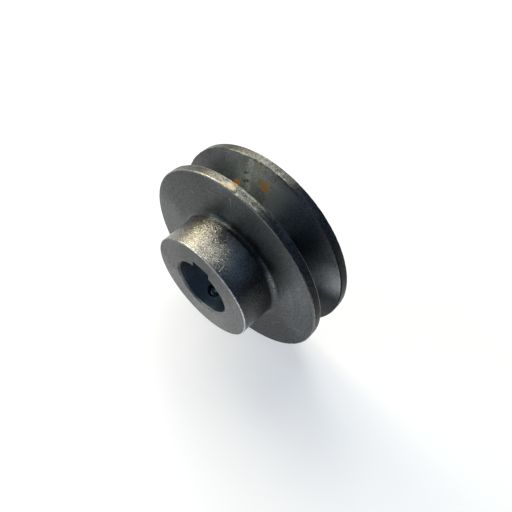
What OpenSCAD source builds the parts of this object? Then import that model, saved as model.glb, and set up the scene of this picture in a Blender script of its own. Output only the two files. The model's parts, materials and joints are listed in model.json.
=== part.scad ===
// V belt pulley: one A section groove, a boss on one side, a keyed bore and a grub screw.
// The bore runs along Y. The origin is on the bore's axis, in the middle plane of the groove.
// The boss points to -Y, the keyway to +Z and the grub screw to -Z.

/* [Rim] */
// Outside diameter of the rim
rim_d = 85.5; // [80:0.5:110]
// Width across the rim
rim_w = 20; // [19:0.5:24]
// Bevel on the two outer corners of the rim
rim_bevel = 0.4; // [0.2:0.1:1]

/* [Groove] */
// Width of the groove at the datum line, where the belt's cords run
datum_w = 11; // [10.5:0.5:12]
// Depth of the datum line below the rim
datum_depth = 2.75; // [2.5:0.25:3.5]
// Angle between the two flanks
groove_angle = 34; // [32:1:38]
// Depth of the groove below the rim
groove_depth = 13.75; // [11.5:0.25:14]
// Radius in the two bottom corners of the groove
root_r = 1; // [0.5:0.1:1.2]
// Bevel where each flank meets the rim
flank_bevel = 0.4; // [0.2:0.1:0.8]

/* [Boss] */
// Diameter of the boss at its end face
boss_d = 47; // [42:1:52]
// How much thicker the boss is at its foot, the draft of the casting
boss_draft = 1; // [0:0.5:2]
// How far the boss stands out from the rim's side
boss_len = 16; // [12:0.5:24]
// Radius where the boss meets the side of the rim
boss_fillet = 2; // [1:0.1:3]
// Bevel around the boss's end face
boss_bevel = 0.4; // [0.2:0.1:1.2]

/* [Bore and keyway] */
// Diameter of the bore
bore_d = 25; // [22:1:30]
// Bevel at both mouths of the bore
bore_bevel = 0.8; // [0.3:0.1:1.2]
// Width of the keyway
key_w = 8; // [6:2:10]
// Depth of the keyway, measured on its middle line
key_depth = 3.3; // [2.8:0.1:3.8]

/* [Grub screw] */
// Nominal diameter of the grub screw's thread
screw_d = 6; // [5:1:8]
// Length of the grub screw
screw_len = 10; // [6:1:10]
// Gap between the screw and the wall of its hole
screw_gap = 0.05; // [0.02:0.01:0.1]
// How far the screw's point stays short of the bore
screw_setback = 0.5; // [0:0.1:1.5]

/* [Hidden] */

CIRCLE_FN = 96;
ARC_STEPS = 6;
OVERCUT = 1;

rim_r = rim_d / 2;
half_w = rim_w / 2;
bore_r = bore_d / 2;
face_z = half_w + boss_len;

// Groove: the flanks lean out from the corner arcs at its bottom
lean = groove_angle / 2;
bottom_r = rim_r - groove_depth;
bottom_half = datum_w / 2 - (groove_depth - datum_depth) * tan(lean);
corner_z = bottom_half + root_r * (tan(lean) - 1 / cos(lean));

// Boss: its side leans in from the foot by the draft angle
boss_r = boss_d / 2;
foot_r = boss_r + boss_draft / 2;
draft = atan((foot_r - boss_r) / boss_len);
fillet_r = foot_r + boss_fillet * (1 / cos(draft) - tan(draft));

// Grub screw: a metric cup point screw with a hexagon socket
thread_r = screw_d / 2 - screw_gap;
cup_r = screw_d / 4;
point_bevel = thread_r - cup_r;
end_bevel = screw_d * 0.08;
socket_flats = screw_d / 2;
socket_depth = screw_len * 0.38;
socket_r = socket_flats / 2 / cos(30);
cone_slope = tan(30);
hole_sink = 0.5;
screw_z = half_w + boss_len / 2;

function arc(r, z, radius, from, to) =
    [for (i = [0 : ARC_STEPS])
        let (a = from + (to - from) * i / ARC_STEPS)
        [r + radius * cos(a), z + radius * sin(a)]];

function flank_z(r) = bottom_half + (r - bottom_r) * tan(lean);

// One side of the groove, from its bottom out to the rim
function groove_side() = concat(
    arc(bottom_r + root_r, corner_z, root_r, 180, 90 + lean),
    [[rim_r - flank_bevel, flank_z(rim_r - flank_bevel)],
     [rim_r, flank_z(rim_r) + flank_bevel]]);

function mirrored(side) = [for (i = [len(side) - 1 : -1 : 0]) [side[i][0], -side[i][1]]];

// The turned outline as [radius, distance along the bore], with the boss at the far end
function outline() = concat(
    [[bore_r, -half_w + bore_bevel],
     [bore_r + bore_bevel, -half_w],
     [rim_r - rim_bevel, -half_w],
     [rim_r, -half_w + rim_bevel]],
    mirrored(groove_side()),
    groove_side(),
    [[rim_r, half_w - rim_bevel],
     [rim_r - rim_bevel, half_w]],
    arc(fillet_r, half_w + boss_fillet, boss_fillet, 270, 180 + draft),
    [[boss_r, face_z - boss_bevel],
     [boss_r - boss_bevel, face_z],
     [bore_r + bore_bevel, face_z],
     [bore_r, face_z - bore_bevel]]);

// Lays a shape that is built along +Z down on the bore's axis, with the boss to -Y
module along_bore() {
    rotate([90, 0, 0]) children();
}

// Stands a shape that is built along +Z on the bore's axis, pointing out to the grub screw
module along_screw() {
    translate([0, -screw_z, 0])
        rotate([180, 0, 0]) children();
}

module keyway() {
    translate([-key_w / 2, 0, -half_w - OVERCUT])
        cube([key_w, bore_r + key_depth, rim_w + boss_len + 2 * OVERCUT]);
}

module tapped_hole() {
    hole_r = screw_d / 2;
    outside_r = foot_r + OVERCUT;
    sink_z = (foot_r + boss_r) / 2 - hole_sink;
    along_screw() {
        cylinder(r = hole_r, h = outside_r, $fn = CIRCLE_FN);
        translate([0, 0, sink_z])
            cylinder(r1 = hole_r, r2 = hole_r + 2 * hole_sink, h = 2 * hole_sink, $fn = CIRCLE_FN);
    }
}

module pulley() {
    color("dimgray")
        difference() {
            along_bore()
                difference() {
                    rotate_extrude($fn = CIRCLE_FN) polygon(outline());
                    keyway();
                }
            tapped_hole();
        }
}

module set_screw() {
    color("darkslategray")
        along_screw()
            translate([0, 0, bore_r + screw_setback])
                difference() {
                    rotate_extrude($fn = CIRCLE_FN)
                        polygon([
                            [0, cup_r * cone_slope],
                            [cup_r, 0],
                            [thread_r, point_bevel],
                            [thread_r, screw_len - end_bevel],
                            [thread_r - end_bevel, screw_len],
                            [0, screw_len]]);
                    translate([0, 0, screw_len - socket_depth])
                        cylinder(r = socket_r, h = socket_depth + OVERCUT, $fn = 6);
                }
}

pulley();
set_screw();
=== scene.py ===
import json
import math

import bpy
import numpy as np
from mathutils import Matrix, Vector, noise


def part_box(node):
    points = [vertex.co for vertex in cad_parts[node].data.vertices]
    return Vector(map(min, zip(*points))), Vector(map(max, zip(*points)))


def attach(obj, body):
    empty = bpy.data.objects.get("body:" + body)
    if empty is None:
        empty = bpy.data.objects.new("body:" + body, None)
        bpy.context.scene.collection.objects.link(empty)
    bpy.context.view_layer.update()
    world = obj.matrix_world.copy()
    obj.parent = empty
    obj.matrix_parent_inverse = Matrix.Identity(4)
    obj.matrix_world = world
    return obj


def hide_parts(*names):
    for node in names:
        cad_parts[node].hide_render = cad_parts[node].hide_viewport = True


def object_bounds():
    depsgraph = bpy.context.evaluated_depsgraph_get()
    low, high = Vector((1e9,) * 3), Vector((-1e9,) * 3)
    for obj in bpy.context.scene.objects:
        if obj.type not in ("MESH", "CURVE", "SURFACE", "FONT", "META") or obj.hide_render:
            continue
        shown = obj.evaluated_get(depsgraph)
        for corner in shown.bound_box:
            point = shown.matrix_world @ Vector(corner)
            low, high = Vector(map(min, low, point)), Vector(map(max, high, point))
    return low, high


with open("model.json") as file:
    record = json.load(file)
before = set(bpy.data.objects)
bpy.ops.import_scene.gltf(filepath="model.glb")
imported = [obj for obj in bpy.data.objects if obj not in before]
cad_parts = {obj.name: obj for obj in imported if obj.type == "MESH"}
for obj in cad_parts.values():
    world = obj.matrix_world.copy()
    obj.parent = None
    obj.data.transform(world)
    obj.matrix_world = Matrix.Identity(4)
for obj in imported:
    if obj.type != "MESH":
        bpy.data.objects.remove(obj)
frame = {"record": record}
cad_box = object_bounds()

MM = 0.001

# Sizes of the pulley. The bore runs along Y, and the boss points to -Y.
pulley_low, pulley_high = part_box("pulley")
RIM_R = min(pulley_high.x, pulley_high.z)
BOSS_END = pulley_low.y
REAR = pulley_high.y
FRONT = -REAR
BORE_R = frame["record"]["mounts"][0]["dims"]["r_mm"] * MM
BORE_BEVEL = 0.8 * MM
BOSS_R = 23.5 * MM
FOOT_R = 24 * MM
DATUM_HALF = 5.5 * MM
DATUM_DEPTH = 2.75 * MM
GROOVE_DEPTH = 13.75 * MM
FLANK_SLOPE = math.tan(math.radians(17))
ROOT_R = RIM_R - GROOVE_DEPTH
ROOT_HALF = DATUM_HALF - (GROOVE_DEPTH - DATUM_DEPTH) * FLANK_SLOPE
MOUTH_HALF = DATUM_HALF + DATUM_DEPTH * FLANK_SLOPE
KEY_HALF = 4 * MM
KEY_TOP = BORE_R + 3.3 * MM

# The grub screw stands in its hole along -Z, at the middle of the boss.
screw_low, screw_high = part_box("set_screw")
SCREW_Y = (screw_low.y + screw_high.y) / 2
SCREW_POINT = -screw_high.z
SCREW_LENGTH = screw_high.z - screw_low.z
SCREW_R = (screw_high.y - screw_low.y) / 2
HOLE_R = 3 * MM
PITCH = 1 * MM
HOLE_SINK = 0.5 * MM

# Steps round the turned body, and how deep its cast skin and the wear on its rims go.
AROUND = 384
SKIN_DEPTH = 0.03 * MM
WEAR_DEPTH = 0.15 * MM
WEAR_REACH = 0.9 * MM

# Marks on the pulley. A place is (angle from +Z towards +X in degrees, radius, y), with lengths in mm.
# Rust spots: (place, size, strength, redness), the first on the front rim and the others in the groove.
RUST = [
    ((-5.2, 42.7, -6.5), 1.1, 1.0, 1.0),
    ((-20.2, 31.9, 3.0), 2.1, 1.0, 1.0),
    ((-3, 36.6, 4.5), 2.5, 0.7, 0.0),
    ((0.9, 35.9, 4.2), 2.7, 1.0, 0.7),
    ((-6.7, 41.3, 5.9), 2.4, 0.35, 0.0),
]
# A pale patch on the front rim: (place, size).
PALE_SPOTS = [((-6.5, 42.7, -8.4), 1.9), ((-4, 42.7, -8.9), 1.6), ((-9.5, 42.7, -9.6), 1.5)]
# Dashes and scratches: (start, end, width).
DARK_DASHES = [
    ((-14.6, 36.8, 4.5), (-11.4, 37.7, 4.8), 0.75),
    ((-14.6, 33.5, 3.5), (-11.2, 34.4, 3.8), 0.85),
]
FLANGE_SCRATCHES = [
    ((-4.4, 39, -10), (-3.4, 35.5, -10), 0.16),
    ((57, 37, -10), (54.5, 38.7, -10), 0.22),
    ((100, 35.9, -10), (96, 38.6, -10), 0.18),
    ((-38, 33, -10), (-41, 34.5, -10), 0.14),
    ((60, 29, -10), (64, 28.4, -10), 0.2),
    ((72, 31, -10), (74, 31.6, -10), 0.16),
    ((122, 31, -10), (111, 31, -10), 0.13),
]
# Marks that run from place to place.
WORN_STREAK = [(-11.3, 42, 6.1), (-11.9, 39.4, 5.3), (-12.1, 35.6, 4.2), (-10.9, 32.1, 3.1)]
STREAK_WIDTH = 1.9
BOSS_SCRATCH = [(13.5, 23.7, -21), (18.8, 23.6, -22.4), (19.4, 23.6, -24.8)]
BOSS_SCRATCH_WIDTH = 0.22
# A fine crease along the front rim, with painted shade along it, and a slightly paler land between it and
# the groove.
CREASE = (6, 42.7, -7.8)
CREASE_REACH = 13
# Nicks in the rims: (place, size, depth).
NICKS = [
    ((-1.5, 42.7, -9.9), 1.5, 0.3),
    ((3, 42.7, 7.0), 0.9, 0.15),
    ((9, 42.7, -9.9), 0.8, 0.12),
    ((-21, 42.7, -9.9), 1.0, 0.12),
    ((27, 42.7, 9.9), 1.0, 0.15),
    ((118, 42.7, -9.9), 1.4, 0.2),
    ((201, 42.7, 9.9), 1.6, 0.25),
    ((248, 42.7, -6.8), 1.2, 0.15),
]

# Painted highlights and painted shade: broad places made lighter or darker by gain. (place, size, gain)
PAINTED_LIGHT_AND_SHADE = {
    "face": [((-68, 18, -26), 17, 0.44), ((-8, 18, -26), 14, 0.44), ((28, 18, -26), 11, 0.75),
             ((165, 18, -26), 16, 1.35)],
    "boss": [((68, 24, -18), 19, 0.36), ((28, 24, -18), 8, 1.7), ((12, 24, -18), 9, 1.4),
             ((-16, 24, -12), 6, 1.6), ((14, 24, -13), 6, 2.2)],
    "flange": [((-46, 34, -10), 30, 0.4), ((45, 33, -10), 24, 1.4), ((135, 38, -10), 32, 0.42),
               # By the boss's foot: a painted highlight, then the boss's painted shadow on the flange.
               ((-22, 25, -11), 4, 1.8), ((4, 25, -11), 5, 0.3), ((20, 25, -11), 7, 0.3),
               ((38, 25, -11), 7, 0.35)],
    "groove": [((-65, 40, 5.6), 28, 0.3), ((-36, 30, 2.5), 8, 1.3), ((-36, 41, 5.8), 8, 0.68),
               ((-24, 36, 4.3), 7, 1.35), ((0, 35, 4), 15, 1.9), ((21, 35, 4), 14, 2.5),
               ((69, 38, 5), 11, 2.4), ((100, 38, 5), 22, 0.15)],
    "land": [((-58, 42.7, 0), 20, 0.4), ((72, 42.7, 0), 26, 0.2), ((48, 42.7, 0), 14, 0.4),
             ((10, 42.7, 0), 13, 1.45), ((25, 42.7, 0), 10, 2.5)],
    "rubbed_and_highlit": [((-75, 23, -26), 30, 0.3), ((150, 23, -26), 22, 0.5)],
    "edge": [((-22, 42.7, 0), 16, 1.4), ((45, 42.7, 0), 26, 0.35)],
}

BLACK = (0, 0, 0, 1)
PALE_PATCH = (0.17, 0.152, 0.118, 1)
OLIVE_RUST = (0.21, 0.16, 0.035, 1)
ORANGE_RUST = (0.6, 0.2, 0.03, 1)
GLINTS_PER_MM = 2.4

# The camera's angles in degrees, place in metres and lens in mm.
CAMERA_AZIMUTH, CAMERA_ELEVATION, CAMERA_ROLL = 32.737, 57.555, 11.623
CAMERA_PLACE = (0.05432, -0.07633, 0.14390)
CAMERA_LENS = 29.02

# The floor, the wall round it and the softboxes, in metres.
FLOOR_HALF = 4
WALL_R = 3.9
WALL_HEIGHT = 6
SOFTBOX_DISTANCE = 1.2
SOFTBOX_WIDTH = 0.46

# Softboxes: (azimuth, elevation, power in watts, colour).
SOFTBOXES = {
    "window_left": (236, 26, 2.6, (1, 0.92, 0.66)),
    "window": (259, 26, 4.1, (1, 0.88, 0.56)),
    "window_right": (270, 26, 4.1, (1, 0.82, 0.5)),
    "left": (304, 26, 2.4, (0.7, 1, 0.97)),
    "front": (326, 26, 2.6, (1, 0.92, 0.72)),
    "high_back": (225, 44, 4.1, (1, 0.97, 0.79)),
    "high": (255, 44, 3.9, (1, 0.89, 0.71)),
    "top": (202, 62, 2.7, (1, 0.95, 0.74)),
}
SKY_COLOUR = (0.48, 0.7, 1, 1)
SKY_STRENGTH = 0.21


def polar(angle, radius, y):
    a = math.radians(angle)
    return Vector((radius * math.sin(a), y, radius * math.cos(a)))


def direction(azimuth, elevation):
    """A unit vector at angles in degrees: azimuth from -Y towards +X, and elevation above the floor."""
    azimuth, elevation = math.radians(azimuth), math.radians(elevation)
    return Vector((math.sin(azimuth) * math.cos(elevation),
                   -math.cos(azimuth) * math.cos(elevation),
                   math.sin(elevation)))


# ---------------------------------------------------------------- meshes

def line(a, b, step):
    """Points from a up to but not including b, about step apart, with one close to each end."""
    length = math.dist(a, b)
    count = max(1, round(length / step))
    shares = [i / count for i in range(count)]
    support = 0.12 * MM / length
    if count > 2:
        shares = [0, support] + shares[1:] + [1 - support]
    return [(a[0] + (b[0] - a[0]) * t, a[1] + (b[1] - a[1]) * t) for t in shares]


def rounded(corners, arc_steps=5):
    """A closed outline of rows from corners (r, y, corner radius, zone, step, zone of the corner).

    Each row is ((r, y), zone), with the zone that the faces after it belong to. A corner has its line's zone
    if it names none.
    """
    count = len(corners)
    arcs = []
    for i, (r, y, radius, *_) in enumerate(corners):
        here = Vector((r, y))
        before = (Vector(corners[i - 1][:2]) - here).normalized()
        after = (Vector(corners[(i + 1) % count][:2]) - here).normalized()
        half = before.angle(after) / 2
        reach = radius / math.tan(half)
        centre = here + (before + after).normalized() * radius / math.sin(half)
        start = here + before * reach
        end = here + after * reach
        turn = (start - centre).angle_signed(end - centre)
        arc = []
        for k in range(arc_steps + 1):
            spoke = start - centre
            spoke.rotate(Matrix.Rotation(-turn * k / arc_steps, 2))
            arc.append(tuple(centre + spoke))
        arcs.append(arc)
    rows = []
    for i, (_, _, _, zone, step, *corner_zone) in enumerate(corners):
        rows += [(p, corner_zone[0] if corner_zone else zone) for p in arcs[i][:-1]]
        rows += [(p, zone) for p in line(arcs[i][-1], arcs[(i + 1) % count][0], step)]
    return rows


def pulley_rows():
    bore_out = BORE_R + BORE_BEVEL
    return rounded([
        (bore_out, BOSS_END, 0.1 * MM, "face", 1 * MM),
        (BOSS_R, BOSS_END, 0.35 * MM, "boss", 0.32 * MM, "rubbed_and_highlit"),
        (FOOT_R, FRONT, 2 * MM, "flange", 1 * MM),
        (RIM_R, FRONT, 0.4 * MM, "land", 0.36 * MM, "edge"),
        (RIM_R, -MOUTH_HALF, 0.6 * MM, "groove", 1 * MM),
        (ROOT_R, -ROOT_HALF, 1 * MM, "groove", 1 * MM),
        (ROOT_R, ROOT_HALF, 1 * MM, "groove", 1 * MM),
        (RIM_R, MOUTH_HALF, 0.6 * MM, "land", 0.36 * MM),
        (RIM_R, REAR, 0.4 * MM, "flange", 2 * MM, "edge"),
        (bore_out, REAR, 0.1 * MM, "bore", 0.5 * MM),
        (BORE_R, REAR - BORE_BEVEL, 0.1 * MM, "bore", 2 * MM),
        (BORE_R, BOSS_END + BORE_BEVEL, 0.1 * MM, "face", 0.5 * MM),
    ])


def new_mesh(name, points, faces, material=None):
    mesh = bpy.data.meshes.new(name)
    mesh.from_pydata([tuple(p) for p in points], [], faces)
    mesh.update()
    if material:
        mesh.materials.append(material)
    return mesh


def new_object(name, mesh):
    obj = bpy.data.objects.new(name, mesh)
    bpy.context.scene.collection.objects.link(obj)
    return obj


def ring_faces(rings, around, closed):
    """Quads between rings of points, and from the last ring to the first if closed."""
    faces = []
    for i in range(rings if closed else rings - 1):
        low, high = i * around, (i + 1) % rings * around
        for j in range(around):
            k = (j + 1) % around
            faces.append((low + j, low + k, high + k, high + j))
    return faces


def relief(r, y, angle, zone):
    """How far a point of the turned body lies below its true surface: cast skin, worn edges and nicks."""
    place = Vector((r * math.sin(angle), y, r * math.cos(angle))) / MM
    if zone == "boss" and r > BOSS_R - 0.5 * MM:
        skin = 0.5 + 0.4 * noise.noise(place * 1.1) + 0.6 * noise.noise(place * 0.35)
        # The skin fades out next to the turned edge and above the foot.
        fade = min(y - BOSS_END - 0.4 * MM, FRONT - 2.2 * MM - y) / (1.5 * MM)
        return SKIN_DEPTH * min(1, max(0, skin)) * min(1, max(0, fade))
    if r > RIM_R - 1.2 * MM:
        corners = ((RIM_R, FRONT), (RIM_R, -MOUTH_HALF), (RIM_R, MOUTH_HALF), (RIM_R, REAR))
        reach = min(math.dist((r, y), corner) for corner in corners)
        close = max(0, 1 - reach / WEAR_REACH)
        # Only the noise's peaks are worn.
        wear = WEAR_DEPTH * close * max(0, noise.noise(place * 0.55) - 0.22) / 0.4
        dents = [depth * max(0, 1 - (place - polar(*at)).length / size) for at, size, depth in NICKS]
        return wear + max(dents) * MM
    return 0


def turn_pulley(materials):
    """The turned body, before its keyway and tapped hole are cut."""
    rows = pulley_rows()
    angle = np.arange(AROUND) * 2 * math.pi / AROUND
    radius = np.array([[r - relief(r, y, a, zone) for a in angle] for (r, y), zone in rows])
    along = np.array([p[1] for p, _ in rows])[:, None] + 0 * angle
    points = np.stack([radius * np.sin(angle), along, radius * np.cos(angle)], -1)
    mesh = new_mesh("pulley_body", points.reshape(-1, 3), ring_faces(len(rows), AROUND, True))
    zones = list(materials)
    for zone in zones:
        mesh.materials.append(materials[zone])
    index = np.repeat([zones.index(zone) for _, zone in rows], AROUND)
    mesh.polygons.foreach_set("material_index", index.astype(np.int32))
    return new_object("pulley_body", mesh)


def box_cutter(low, high, material):
    xs, ys, zs = zip(low, high)
    points = [(x, y, z) for x in xs for y in ys for z in zs]
    faces = [(0, 1, 3, 2), (4, 6, 7, 5), (0, 4, 5, 1), (2, 3, 7, 6), (0, 2, 6, 4), (1, 5, 7, 3)]
    return new_object("keyway_cutter", new_mesh("keyway_cutter", points, faces, material))


def thread_wave(z, angle):
    """0 at the foot of a right-hand thread and 1 at its crest."""
    flat, slope = 0.14, 0.72
    phase = (z / PITCH - angle / (2 * math.pi)) % 1
    return min(1, max(0, (abs(2 * phase - 1) - flat) / slope))


def spindle(name, rings, around, material):
    """A closed solid on the screw's axis, from rings of (distance along -Z, radius at each step round)."""
    points = []
    for z, radii in rings:
        for j, r in enumerate(radii):
            a = 2 * math.pi * j / around
            points.append((r * math.cos(a), SCREW_Y - r * math.sin(a), -z))
    faces = ring_faces(len(rings), around, False)
    for ring in (0, len(rings) - 1):
        pole = len(points)
        points.append((0, SCREW_Y, -rings[ring][0]))
        base = ring * around
        for j in range(around):
            a, b = base + j, base + (j + 1) % around
            faces.append((pole, b, a) if ring == 0 else (pole, a, b))
    return new_object(name, new_mesh(name, points, faces, material))


def tapped_hole_cutter(material, around=72):
    groove = 0.2 * MM
    low, high = BORE_R - 3 * MM, FOOT_R + 1 * MM
    steps = round((high - low) / (PITCH / 8))
    rings = []
    for i in range(steps + 1):
        z = low + (high - low) * i / steps
        sink = HOLE_R + max(0, z - (BOSS_R + FOOT_R) / 2 + HOLE_SINK)
        rings.append((z, [max(sink, HOLE_R + groove * (1 - thread_wave(z, 2 * math.pi * j / around)))
                          for j in range(around)]))
    return spindle("hole_cutter", rings, around, material)


def apply_cuts(obj, cutters):
    for cutter in cutters:
        cut = obj.modifiers.new("cut", "BOOLEAN")
        cut.operation = "DIFFERENCE"
        cut.solver = "EXACT"
        cut.material_mode = "TRANSFER"
        cut.object = cutter
    depsgraph = bpy.context.evaluated_depsgraph_get()
    mesh = bpy.data.meshes.new_from_object(obj.evaluated_get(depsgraph))
    obj.modifiers.clear()
    obj.data = mesh
    for cutter in cutters:
        bpy.data.objects.remove(cutter)


def smooth_by_angle(mesh, degrees):
    mesh.polygons.foreach_set("use_smooth", [True] * len(mesh.polygons))
    mesh.set_sharp_from_angle(angle=math.radians(degrees))


def make_pulley(materials):
    body = turn_pulley(materials)
    past = 1 * MM
    keyway = box_cutter((-KEY_HALF, BOSS_END - past, 0), (KEY_HALF, REAR + past, KEY_TOP),
                        materials["keyway"])
    hole = tapped_hole_cutter(materials["bore"])
    apply_cuts(body, [keyway, hole])
    smooth_by_angle(body.data, 35)
    return body


def make_screw(material, around=72):
    """M6 cup point grub screw with a hexagon socket."""
    foot_r = 2.45 * MM
    cup_r = 1.5 * MM
    cup_edge_r = cup_r + 0.08 * MM
    cup_depth = 0.87 * MM
    apothem = 1.5 * MM
    socket_depth = 3.8 * MM
    end_bevel = 0.48 * MM
    lip = 0.12 * MM
    point, end = SCREW_POINT, SCREW_POINT + SCREW_LENGTH

    def circle(r):
        return [r] * around

    rings = [(point + cup_depth * (1 - t), circle(cup_r * t)) for t in (0.02, 0.35, 0.7, 0.95)]
    rings.append((point, circle(cup_edge_r)))
    steps = round(SCREW_LENGTH / (PITCH / 10))
    for i in range(1, steps):
        z = point + SCREW_LENGTH * i / steps
        limit = min(cup_edge_r + (z - point), SCREW_R - end_bevel + (end - z))
        rings.append((z, [min(limit, foot_r + (SCREW_R - foot_r) * thread_wave(z, 2 * math.pi * j / around))
                          for j in range(around)]))
    rings.append((end, circle(SCREW_R - end_bevel)))
    hexagon = [apothem / math.cos(math.radians((j * 360 / around) % 60 - 30)) for j in range(around)]
    rings.append((end, [r + lip for r in hexagon]))
    rings.append((end - lip, hexagon))
    rings += [(end - socket_depth * t, hexagon) for t in (0.5, 1)]
    # The socket ends in the shallow cone of its drill.
    rings.append((end - socket_depth - 0.1 * MM, circle(apothem * 0.95)))
    rings.append((end - socket_depth - 0.7 * MM, circle(apothem * 0.05)))
    screw = spindle("grub_screw", rings, around, material)
    smooth_by_angle(screw.data, 30)
    return screw


# ---------------------------------------------------------------- materials

class Graph:
    """Builds the nodes of one material. Its lengths are in millimetres."""

    def __init__(self, name):
        self.material = bpy.data.materials.new(name)
        self.material.use_nodes = True
        self.tree = self.material.node_tree
        self.shader = self.tree.nodes["Principled BSDF"]
        coordinates = self.tree.nodes.new("ShaderNodeTexCoord").outputs["Object"]
        self.place = self.add("VectorMath", {0: coordinates, 3: 1 / MM}, operation="SCALE")
        parts = self.tree.nodes.new("ShaderNodeSeparateXYZ")
        self.feed(parts.inputs[0], self.place)
        self.y = parts.outputs["Y"]
        spoke = self.vector("MULTIPLY", self.place, (1, 0, 1))
        self.radius = self.add("VectorMath", {0: spoke}, output=1, operation="LENGTH")
        self.turn = self.add("VectorMath", {0: spoke}, operation="NORMALIZE")

    def feed(self, socket, value):
        if isinstance(value, bpy.types.NodeSocket):
            self.tree.links.new(value, socket)
        else:
            socket.default_value = value

    def add(self, kind, inputs, output=0, **settings):
        node = self.tree.nodes.new("ShaderNode" + kind)
        for key, value in settings.items():
            setattr(node, key, value)
        for key, value in inputs.items():
            self.feed(node.inputs[key], value)
        return node.outputs[output]

    def math(self, operation, a, b=0.5):
        return self.add("Math", {0: a, 1: b}, operation=operation)

    def vector(self, operation, a, b):
        return self.add("VectorMath", {0: a, 1: b}, operation=operation)

    def mix(self, share, a, b):
        """From colour a to colour b. A Mix node's colour sockets are 6 and 7, and its colour output is 2."""
        return self.add("Mix", {0: share, 6: a, 7: b}, output=2, data_type="RGBA")

    def noise(self, at, scale, detail=2.0, roughness=0.5):
        return self.add("TexNoise", {"Vector": at, "Scale": scale, "Detail": detail, "Roughness": roughness})

    def ramp(self, value, start, end, low=0.0, high=1.0):
        """low at start, high at end, smooth between them and level outside."""
        return self.add("MapRange", {"Value": value, "From Min": start, "From Max": end,
                                     "To Min": low, "To Max": high}, interpolation_type="SMOOTHSTEP")

    def shifted(self, value, mask, amount):
        """value where mask is 0, and amount more where it is 1."""
        return self.math("ADD", value, self.math("MULTIPLY", mask, amount))

    def scaled(self, value, mask, gain):
        """value where mask is 0, and gain times as much where it is 1."""
        return self.math("MULTIPLY", value, self.shifted(1.0, mask, gain - 1))

    def swing(self, base, noise, share):
        """base, plus up to about share either way as the noise goes up and down."""
        if not share:
            return base
        return self.shifted(base, self.math("SUBTRACT", noise, 0.5), 4 * share)

    def round_bore(self, along, around_scale, along_scale):
        """A place for noise that is stretched round the bore or across it, without a seam."""
        lift = self.add("CombineXYZ", {"Y": self.math("MULTIPLY", along, along_scale)})
        ring = self.add("VectorMath", {0: self.turn, 3: around_scale}, operation="SCALE")
        return self.vector("ADD", ring, lift)

    def near(self, point, size, ragged=0.5, scale=0.9):
        """1 at a point in mm, and 0 beyond size from it, with a ragged edge."""
        away = self.add("VectorMath", {0: self.place, 1: tuple(point)}, output=1, operation="DISTANCE")
        wobble = self.math("SUBTRACT", self.noise(self.place, scale, 3.0, 0.6), 0.5)
        return self.ramp(self.shifted(away, wobble, ragged * size * 2), size, size * 0.35)

    def stroke(self, start, end, width):
        """1 on a straight line between two points in mm, and 0 beyond width from it."""
        along = end - start
        offset = self.vector("SUBTRACT", self.place, tuple(start))
        share = self.add("VectorMath", {0: offset, 1: tuple(along / along.length_squared)},
                         output=1, operation="DOT_PRODUCT")
        share = self.add("Clamp", {"Value": share})
        nearest = self.add("VectorMath", {0: tuple(along), 3: share}, operation="SCALE")
        away = self.add("VectorMath", {0: offset, 1: nearest}, output=1, operation="DISTANCE")
        return self.ramp(away, width, width * 0.3)

    def bump(self, height, glints=0.0):
        """height is in mm. glints tilts small grains at random, and a few of them far."""
        normal = self.add("Bump", {"Height": height, "Distance": MM})
        if glints:
            grains = self.add("TexVoronoi", {"Vector": self.place, "Scale": GLINTS_PER_MM}, output=1)
            tilt = self.vector("SUBTRACT", grains, (0.5, 0.5, 0.5))
            weight = self.add("VectorMath", {0: tilt, 1: tilt}, output=1, operation="DOT_PRODUCT")
            weight = self.math("MULTIPLY", weight, 4 * glints)
            tilt = self.add("VectorMath", {0: tilt, 3: weight}, operation="SCALE")
            normal = self.add("VectorMath", {0: self.vector("ADD", normal, tilt)}, operation="NORMALIZE")
        self.feed(self.shader.inputs["Normal"], normal)

    def set(self, **values):
        for key, value in values.items():
            self.feed(self.shader.inputs[key.replace("_", " ")], value)


def grey(value, warmth=0.0):
    return (value * (1 + warmth), value, value * (1 - warmth), 1)


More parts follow.
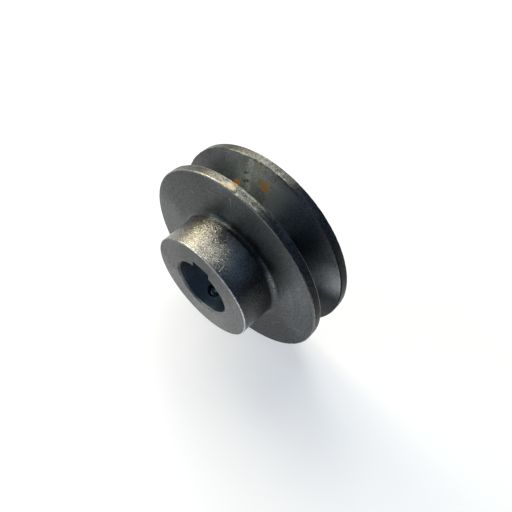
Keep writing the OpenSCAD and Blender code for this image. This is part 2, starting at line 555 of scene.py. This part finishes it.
def iron_material(name, tone, roughness, *, grain, speckle, swirl, blotch, fineness=1.8, along=None,
                  lines=0.0, fans=0.0, glints=0.0, anisotropy=0.0, warmth=0.0, edge_gloss=1.0, painted_light=(),
                  scratches=(), dashes=(), crease=False, streak=(), pale=(), rust=()):
    """Dark oiled iron, of a grey base colour tone that warmth turns towards yellow.

    grain is the depth in mm of a fine relief, and fineness is its scale per mm. speckle, blotch and swirl
    are how far fine, middling and broad noise swing the shade, and fans does the same in rays from the
    bore. On a turned surface, along ("radius" or "y") is the direction across the tool marks and lines is
    their depth in mm. glints is for grains that catch the light, and edge_gloss is the brightness of the
    reflection at grazing angles. Of the rest, the first paints highlights and shade into broad places, and
    the others are marks; all have their places in mm.
    """
    g = Graph(name)
    broad = g.noise(g.place, 0.13, 3.0, 0.6)
    middling = g.noise(g.place, 0.7, 3.0, 0.6)
    fine = g.noise(g.place, fineness, 2.0, 0.65)
    shade = g.swing(1.0, fine, speckle)
    shade = g.swing(shade, broad, swirl)
    shade = g.swing(shade, middling, blotch)
    height = g.math("MULTIPLY", fine, grain)
    if along:
        across = g.radius if along == "radius" else g.y
        tool = g.noise(g.round_bore(across, 1.3, 5.0), 1.0, 2.0, 0.7)
        height = g.shifted(height, tool, lines)
        shade = g.swing(shade, tool, speckle * 0.5)
    if fans:
        shade = g.swing(shade, g.noise(g.round_bore(g.radius, 6.0, 0.06), 1.0, 3.0, 0.6), fans)
    # Painted highlights and painted shade in broad places.
    for point, size, gain in painted_light:
        shade = g.scaled(shade, g.near(point, size, 0.25, 0.12), gain)
    for start, end, width in scratches:
        scratch = g.stroke(start, end, width)
        shade = g.shifted(shade, scratch, 1.6)
        height = g.shifted(height, scratch, -0.03)
    for start, end, width in dashes:
        shade = g.scaled(shade, g.stroke(start, end, width), 0.35)
    # The crease: a shallow dip, painted darker along it as shade.
    if crease:
        crease_y = CREASE[2]
        here = g.near(polar(*CREASE), CREASE_REACH, 0.2, 0.2)
        away = g.math("ABSOLUTE", g.math("SUBTRACT", g.y, crease_y))
        fold = g.math("MULTIPLY", here, g.ramp(away, 0.28, 0.1))
        beyond = g.math("MULTIPLY", here, g.ramp(g.y, crease_y, crease_y + 0.3))
        shade = g.scaled(shade, fold, 0.65)
        shade = g.scaled(shade, beyond, 1.15)
        height = g.shifted(height, fold, -0.02)
    if streak:
        worn = 0.0
        for start, end, width in streak:
            worn = g.math("MAXIMUM", worn, g.stroke(start, end, width))
        worn = g.math("MULTIPLY", worn, g.ramp(g.noise(g.place, 1.3, 3.0, 0.7), 0.4, 0.6))
        shade = g.shifted(shade, worn, 1.5)
        height = g.shifted(height, worn, -0.03)
    # A mix goes only from 0 to 1, so the shade is stated as a share of the lightest one.
    lightest = 3.0
    colour = g.mix(g.math("DIVIDE", shade, lightest), BLACK, grey(tone * lightest, warmth))
    for point, size in pale:
        colour = g.mix(g.near(point, size, 0.3), colour, PALE_PATCH)
    rough = g.ramp(middling, 0.3, 0.7, roughness * 1.1, roughness * 0.9)
    bare = 1.0
    for point, size, strength, redness in rust:
        spot = g.math("MULTIPLY", g.near(point, size, 0.4, 0.7), strength)
        hue = g.math("MULTIPLY", g.ramp(g.noise(g.place, 1.6, 3.0, 0.6), 0.3, 0.6), redness)
        colour = g.mix(spot, colour, g.mix(hue, OLIVE_RUST, ORANGE_RUST))
        bare = g.math("SUBTRACT", bare, spot)
        rough = g.shifted(rough, spot, 0.35)
    g.set(Base_Color=colour, Roughness=rough, Metallic=g.math("MAXIMUM", bare, 0.0) if rust else 1.0,
          Specular_Tint=grey(edge_gloss))
    g.bump(height, glints)
    if anisotropy:
        g.set(Anisotropic=anisotropy, Anisotropic_Rotation=0.25,
              Tangent=g.add("Tangent", {}, direction_type="RADIAL", axis="Y"))
    return g.material


def screw_material():
    g = Graph("black_steel")
    cloud = g.noise(g.place, 0.5, 3.0, 0.6)
    fine = g.noise(g.place, 4.0, 2.0, 0.6)
    g.set(Base_Color=g.mix(cloud, grey(0.17, -0.2), grey(0.24, -0.15)), Metallic=1.0,
          Roughness=g.ramp(fine, 0.3, 0.7, 0.42, 0.56))
    g.bump(g.math("MULTIPLY", fine, 0.012))
    return g.material


def floor_material():
    g = Graph("floor")
    cloud = g.noise(g.place, 0.004, 2.0)
    g.set(Base_Color=g.mix(cloud, (0.54, 0.56, 0.64, 1), (0.56, 0.58, 0.66, 1)), Roughness=0.9,
          Emission_Color=(1, 1, 1, 1), Emission_Strength=0.5)
    return g.material


def wall_material():
    g = Graph("backdrop")
    cloud = g.noise(g.place, 0.0005, 2.0)
    g.set(Base_Color=BLACK, Roughness=1.0, Specular_IOR_Level=0.0, Emission_Strength=1.0,
          Emission_Color=g.mix(cloud, (0.72, 0.74, 0.79, 1), (0.76, 0.78, 0.82, 1)))
    return g.material


def spots(marks):
    return [(polar(*place), *rest) for place, *rest in marks]


def strokes(marks):
    return [(polar(*start), polar(*end), width) for start, end, width in marks]


def path(places, width):
    return strokes((start, end, width) for start, end in zip(places, places[1:]))


def pulley_materials():
    rust = spots(RUST)
    pale = spots(PALE_SPOTS)
    painted_light = {zone: spots(marks) for zone, marks in PAINTED_LIGHT_AND_SHADE.items()}
    return {
        "face": iron_material(
            "face", 0.128, 0.4, grain=0.012, speckle=0.6, swirl=0.06, blotch=0.06, along="radius",
            lines=0.009, glints=0.05, anisotropy=0.3, warmth=-0.03, painted_light=painted_light["face"]),
        "boss": iron_material(
            "boss", 0.16, 0.34, grain=0.05, speckle=0.7, swirl=0.08, blotch=0.15, fineness=2.8,
            glints=0.12, warmth=-0.02, painted_light=painted_light["boss"],
            scratches=path(BOSS_SCRATCH, BOSS_SCRATCH_WIDTH)),
        "flange": iron_material(
            "flange", 0.092, 0.4, grain=0.012, speckle=0.8, swirl=0.1, blotch=0.1, along="radius",
            lines=0.009, glints=0.06, anisotropy=0.3, warmth=-0.055, painted_light=painted_light["flange"],
            scratches=strokes(FLANGE_SCRATCHES)),
        # The rounded rim edges: a painted highlight, brighter than the lands and flanges beside them.
        "edge": iron_material(
            "edge", 0.22, 0.33, grain=0.015, speckle=0.6, swirl=0.1, blotch=0.3, anisotropy=0.3,
            edge_gloss=0.75, painted_light=painted_light["edge"], pale=pale),
        # The boss's front edge: rubbed bright and partly a painted highlight, with three times the boss's
        # tone.
        "rubbed_and_highlit": iron_material(
            "rubbed_and_highlit", 0.5, 0.35, grain=0.01, speckle=0.6, swirl=0.1, blotch=0.3, warmth=-0.03,
            painted_light=painted_light["rubbed_and_highlit"]),
        "land": iron_material(
            "land", 0.08, 0.36, grain=0.024, speckle=0.8, swirl=0.1, blotch=0.35, along="y", lines=0.01,
            anisotropy=0.5, warmth=-0.04, edge_gloss=0.75, painted_light=painted_light["land"], crease=True, pale=pale,
            rust=rust[:1]),
        "groove": iron_material(
            "groove", 0.136, 0.4, grain=0.01, speckle=0.5, swirl=0.08, blotch=0.12, along="radius",
            lines=0.005, fans=0.12, anisotropy=0.75, warmth=-0.05, painted_light=painted_light["groove"],
            dashes=strokes(DARK_DASHES), streak=path(WORN_STREAK, STREAK_WIDTH), rust=rust),
        "bore": iron_material(
            "bore", 0.2, 0.42, grain=0.003, speckle=0.3, swirl=0.1, blotch=0.1, along="y", lines=0.004,
            anisotropy=0.5, warmth=-0.22),
        "keyway": iron_material(
            "keyway", 0.15, 0.42, grain=0.01, speckle=0.3, swirl=0.1, blotch=0.1, warmth=-0.22),
    }


# ---------------------------------------------------------------- stage

def add_camera():
    back = direction(CAMERA_AZIMUTH, CAMERA_ELEVATION)
    azimuth = math.radians(CAMERA_AZIMUTH)
    right = Vector((math.cos(azimuth), math.sin(azimuth), 0))
    right.rotate(Matrix.Rotation(math.radians(CAMERA_ROLL), 3, back))
    up = back.cross(right)
    data = bpy.data.cameras.new("camera")
    data.lens = CAMERA_LENS
    data.clip_start = 0.01
    camera = bpy.data.objects.new("camera", data)
    camera.matrix_world = Matrix.Translation(CAMERA_PLACE) @ Matrix((right, up, back)).transposed().to_4x4()
    bpy.context.scene.collection.objects.link(camera)
    bpy.context.scene.camera = camera


def add_floor():
    z = cad_box[0].z
    corners = [(x * FLOOR_HALF, y * FLOOR_HALF, z) for x, y in ((-1, -1), (1, -1), (1, 1), (-1, 1))]
    new_object("floor", new_mesh("floor", corners, [(0, 1, 2, 3)], floor_material()))


def add_wall(around=96):
    """A plain pale wall round the floor. It neither lights the pulley nor shows in it."""
    foot = cad_box[0].z
    angles = [2 * math.pi * i / around for i in range(around)]
    points = [(WALL_R * math.cos(a), WALL_R * math.sin(a), z) for z in (foot, foot + WALL_HEIGHT)
              for a in angles]
    mesh = new_mesh("backdrop", points, ring_faces(2, around, False), wall_material())
    wall = new_object("backdrop", mesh)
    # With all of these off it isn't sampled as a light either, which would add noise.
    wall.visible_diffuse = False
    wall.visible_glossy = False
    wall.visible_transmission = False
    wall.visible_volume_scatter = False
    wall.visible_shadow = False


def add_softbox(name, azimuth, elevation, power, colour):
    data = bpy.data.lights.new(name, "AREA")
    data.shape = "DISK"
    data.size = SOFTBOX_WIDTH
    data.energy = power
    data.color = colour
    light = bpy.data.objects.new(name, data)
    light.location = SOFTBOX_DISTANCE * direction(azimuth, elevation)
    light.rotation_euler = (-light.location).to_track_quat("-Z", "Y").to_euler()
    bpy.context.scene.collection.objects.link(light)


def add_world():
    world = bpy.data.worlds.new("world")
    bpy.context.scene.world = world
    world.use_nodes = True
    background = world.node_tree.nodes["Background"]
    background.inputs["Color"].default_value = SKY_COLOUR
    background.inputs["Strength"].default_value = SKY_STRENGTH


add_camera()
add_floor()
add_wall()
add_world()
bpy.context.scene.view_settings.view_transform = "Standard"
for name, settings in SOFTBOXES.items():
    add_softbox(name, *settings)

pulley = make_pulley(pulley_materials())
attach(pulley, "pulley")
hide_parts("pulley")
screw = make_screw(screw_material())
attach(screw, "set_screw")
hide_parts("set_screw")
